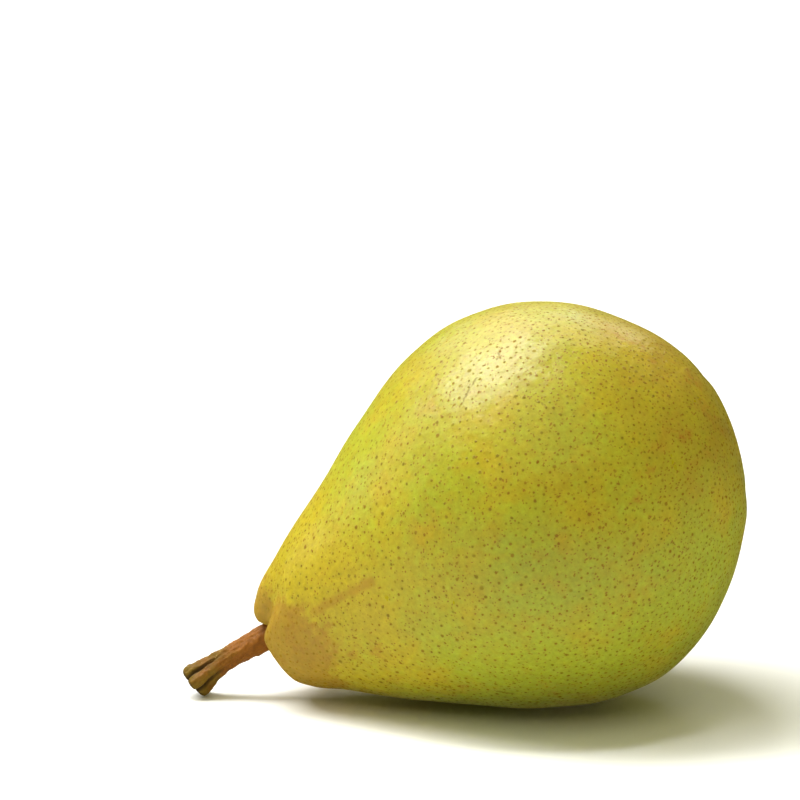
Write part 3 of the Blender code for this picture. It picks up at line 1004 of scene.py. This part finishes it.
stem_shape = turn_outline(smooth_outline(STEM_OUTLINE, STEM_FACE_LENGTH), STEM_TURN_STEPS)
stem_mesh = finished_mesh(stem_shape, "stem_bark")
stem_turned = places_of(stem_mesh)
move_to(stem_mesh, laid_down(grown_stem(stem_turned), laid_shift))
write_attribute(stem_mesh, "upright", "FLOAT_VECTOR", "POINT", stem_turned / MM)
stem_lowest = places_of(stem_mesh)[:, 2].min()
print("stem faces:", len(stem_mesh.polygons), "lowest point, mm:", round(stem_lowest / MM, 2))

# %% [markdown]
# ## The stem's bark
#
# The bark is orange-brown near the fruit and turns olive-brown towards the tip, with pale
# corky specks along the upper edge. Its broken end is dark, and the folds of the knob are
# painted dark too, which is painted shade. Streaks run along the stem, so their noise is
# squeezed: the height is divided by six before it goes into the noise.

# %% The stem's bark
BARK_ORANGE = (0.225, 0.078, 0.0040)
BARK_OLIVE = (0.150, 0.088, 0.0045)
# The dark of the broken end, also used for the painted shade in the folds.
BROKEN_END_AND_FOLD_SHADE = (0.030, 0.015, 0.003)
BARK_PALE = (0.42, 0.28, 0.09)


def make_bark():
    bark = Finish("stem_bark")
    place = bark.place_mm()
    x, y, height = bark.parts(bark.attribute("upright").outputs["Vector"])
    along = (height - STEM_FOOT_HEIGHT / MM) / ((STEM_TIP_HEIGHT - STEM_FOOT_HEIGHT) / MM)
    drawn_out = bark.node("CombineXYZ", {}, {0: x, 1: y, 2: height / 6.0}).outputs[0]
    streaks = bark.noise(drawn_out, 0.55, 3.0, 0.6)
    blotches = bark.noise(place, 1.6, 3.0, 0.6, shift=20.0)
    crumbs = bark.noise(place, 0.28, 3.0, 0.65, shift=40.0)

    turning = bark.rise(along + (blotches - 0.5) * 0.9 + (streaks - 0.5) * 0.5, 0.50, 1.05)
    colour = bark.mix(turning, BARK_ORANGE, BARK_OLIVE)
    colour = bark.brighten(colour, 0.30 + streaks * 0.75 + crumbs * 0.65)
    angle = bark.number("Math", {"operation": "ARCTAN2"}, {0: y, 1: x})
    ridge = bark.number("Math", {"operation": "COSINE"}, {0: angle * STEM_RIDGES + along})
    # Painted shade: the folds of the torn knob are darkened.
    fold_shade = bark.rise(ridge + (streaks - 0.5) * 0.6, -0.45, -0.95) * bark.rise(along, *STEM_TORN_SPAN)
    colour = bark.mix(fold_shade * 0.85, colour, BROKEN_END_AND_FOLD_SHADE)
    torn = bark.rise(along + (crumbs - 0.5) * 0.05, 1.03, 1.06)
    colour = bark.mix(torn * 0.7, colour, BROKEN_END_AND_FOLD_SHADE)
    specks = bark.rise(crumbs, 0.62, 0.70) * bark.rise(x, 0.0, 2.0)
    colour = bark.mix(specks * 0.8, colour, BARK_PALE)

    normal = bark.bump(streaks, 0.25 * MM)
    normal = bark.bump(crumbs, 0.20 * MM, normal)
    bark.set_shader(
        Base_Color=colour,
        Roughness=0.62 + (blotches - 0.5) * 0.3,
        Normal=normal,
        IOR=1.28,
    )
    return bark.material


stem_bark = new_piece("stem_bark", stem_mesh, make_bark())
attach(stem_bark, "root")
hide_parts("stem")

# %% [markdown]
# ## The calyx
#
# The flower's remains sit in the basin: a short cup, five dried sepals that curl out over its
# lip, and the stubs of the stamens inside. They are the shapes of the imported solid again, with
# more faces, torn edges and withered heads on the stamens. Each sepal is a grid that is
# narrowed, curled and crumpled, and then given its thickness.

# %% The calyx
CUP_OUTLINE = (
    (7.6 * MM, 0.00 * MM),
    (7.6 * MM, 1.90 * MM),
    (4.6 * MM, 2.00 * MM),
    (3.6 * MM, 2.70 * MM),
    (2.3 * MM, 2.80 * MM),
    (2.1 * MM, 2.30 * MM),
    (3.2 * MM, 1.60 * MM),
    (3.4 * MM, 0.00 * MM),
)
CUP_FACE_LENGTH = 0.25 * MM
CUP_TURN_STEPS = 64
SEPAL_COUNT = 5
SEPAL_ROOT = (2.2 * MM, 2.9 * MM)
SEPAL_TIP = (5.1 * MM, 0.6 * MM)
SEPAL_WIDTH = 2.7 * MM
SEPAL_TIP_SHARE = 0.3
SEPAL_CURL = 0.5 * MM
SEPAL_THICKNESS = 0.35 * MM
SEPAL_CRUMPLE = 0.28 * MM
SEPAL_TEAR_SHARE = 0.18
STAMEN_COUNT = 7
STAMEN_RING_RADIUS = 1.1 * MM
STAMEN_RADIUS = 0.26 * MM
STAMEN_ROOT_HEIGHT = 3.9 * MM
STAMEN_TIP_HEIGHT = 1.2 * MM
STAMEN_LEAN = math.radians(-14)


def add_sepal(calyx, index):
    """One dried sepal: a tapered, crumpled blade that curls out from the cup's lip."""
    made = bmesh.ops.create_grid(calyx, x_segments=18, y_segments=12, size=1.0)["verts"]
    for vertex in made:
        along = (vertex.co.x + 1.0) / 2.0
        edge = abs(vertex.co.y) ** 2.5
        tear = noise.noise(Vector((along * 6.0, math.copysign(2.0, vertex.co.y), index * 3.7)))
        torn = tear * SEPAL_TEAR_SHARE * edge
        half_width = SEPAL_WIDTH / 2.0 * (1.0 - (1.0 - SEPAL_TIP_SHARE) * along ** 1.6 + torn)
        across = vertex.co.y * half_width
        out = SEPAL_ROOT[0] + (SEPAL_TIP[0] - SEPAL_ROOT[0]) * along
        height = SEPAL_ROOT[1] + (SEPAL_TIP[1] - SEPAL_ROOT[1]) * along
        height -= SEPAL_CURL * math.sin(math.pi * along)
        height += SEPAL_CURL * vertex.co.y ** 2 * along
        height += SEPAL_CRUMPLE * noise.noise(Vector((along * 3.0, vertex.co.y * 1.6, index * 5.1)))
        vertex.co = (out, across, height)
    turn = Matrix.Rotation(2.0 * math.pi * index / SEPAL_COUNT, 3, "Z")
    bmesh.ops.rotate(calyx, verts=made, matrix=turn)
    faces = list({face for vertex in made for face in vertex.link_faces})
    bmesh.ops.solidify(calyx, geom=faces, thickness=SEPAL_THICKNESS)


def add_stamen(calyx, index):
    """The stub of a dried stamen, with a withered head, leaning out from the cup's floor."""
    turn = Matrix.Rotation(2.0 * math.pi * (index + 0.3) / STAMEN_COUNT, 4, "Z")
    stand = Matrix.Translation((STAMEN_RING_RADIUS, 0.0, 0.0))
    lean = turn @ stand @ Matrix.Rotation(STAMEN_LEAN, 4, "Y")
    middle = Matrix.Translation((0.0, 0.0, (STAMEN_ROOT_HEIGHT + STAMEN_TIP_HEIGHT) / 2.0))
    bmesh.ops.create_cone(
        calyx, cap_ends=True, segments=10, radius1=STAMEN_RADIUS * 0.8, radius2=STAMEN_RADIUS,
        depth=STAMEN_ROOT_HEIGHT - STAMEN_TIP_HEIGHT, matrix=middle @ lean,
    )
    tip = Matrix.Translation((0.0, 0.0, -(STAMEN_ROOT_HEIGHT - STAMEN_TIP_HEIGHT) / 2.0))
    bmesh.ops.create_icosphere(
        calyx, subdivisions=2, radius=STAMEN_RADIUS * 1.25, matrix=middle @ lean @ tip
    )


def make_calyx_mesh():
    calyx = turn_outline(smooth_outline(CUP_OUTLINE, CUP_FACE_LENGTH), CUP_TURN_STEPS)
    for index in range(SEPAL_COUNT):
        add_sepal(calyx, index)
    for index in range(STAMEN_COUNT):
        add_stamen(calyx, index)
    bmesh.ops.recalc_face_normals(calyx, faces=calyx.faces[:])
    return finished_mesh(calyx, "calyx_remains")


calyx_mesh = make_calyx_mesh()
calyx_turned = places_of(calyx_mesh)
calyx_grown = calyx_turned + np.outer(blossom_slant(*calyx_turned.T), (0.0, 0.0, 1.0))
move_to(calyx_mesh, laid_down(calyx_grown, laid_shift))
write_attribute(calyx_mesh, "upright", "FLOAT_VECTOR", "POINT", calyx_turned / MM)
print("calyx faces:", len(calyx_mesh.polygons))

# %% [markdown]
# Dried sepals are almost black at the root and grey-brown and papery at the tips, with a faint
# downy bloom. The colour follows the distance from the axis, broken up by noise.

# %% The calyx's finish
SEPAL_DARK = (0.040, 0.022, 0.010)
SEPAL_BROWN = (0.165, 0.092, 0.036)
SEPAL_GREY = (0.33, 0.25, 0.15)


def make_dried_leaf():
    leaf = Finish("dried_calyx")
    place = leaf.place_mm()
    x, y = leaf.parts(leaf.attribute("upright").outputs["Vector"])[:2]
    out = (x * x + y * y) ** 0.5
    veins = leaf.noise(place, 0.5, 4.0, 0.65)
    down = leaf.noise(place, 0.18, 2.0, 0.6, shift=15.0)
    dryness = leaf.rise(out + (veins - 0.5) * 3.0, 1.5, 4.5)
    colour = leaf.mix(dryness, SEPAL_DARK, SEPAL_BROWN)
    colour = leaf.mix(leaf.rise(down + dryness * 0.1, 0.58, 0.74) * 0.7, colour, SEPAL_GREY)
    leaf.set_shader(
        Base_Color=colour,
        Roughness=0.8 + (veins - 0.5) * 0.2,
        Normal=leaf.bump(veins, 0.20 * MM),
    )
    return leaf.material


calyx_remains = new_piece("calyx_remains", calyx_mesh, make_dried_leaf())
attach(calyx_remains, "root")
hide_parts("calyx")
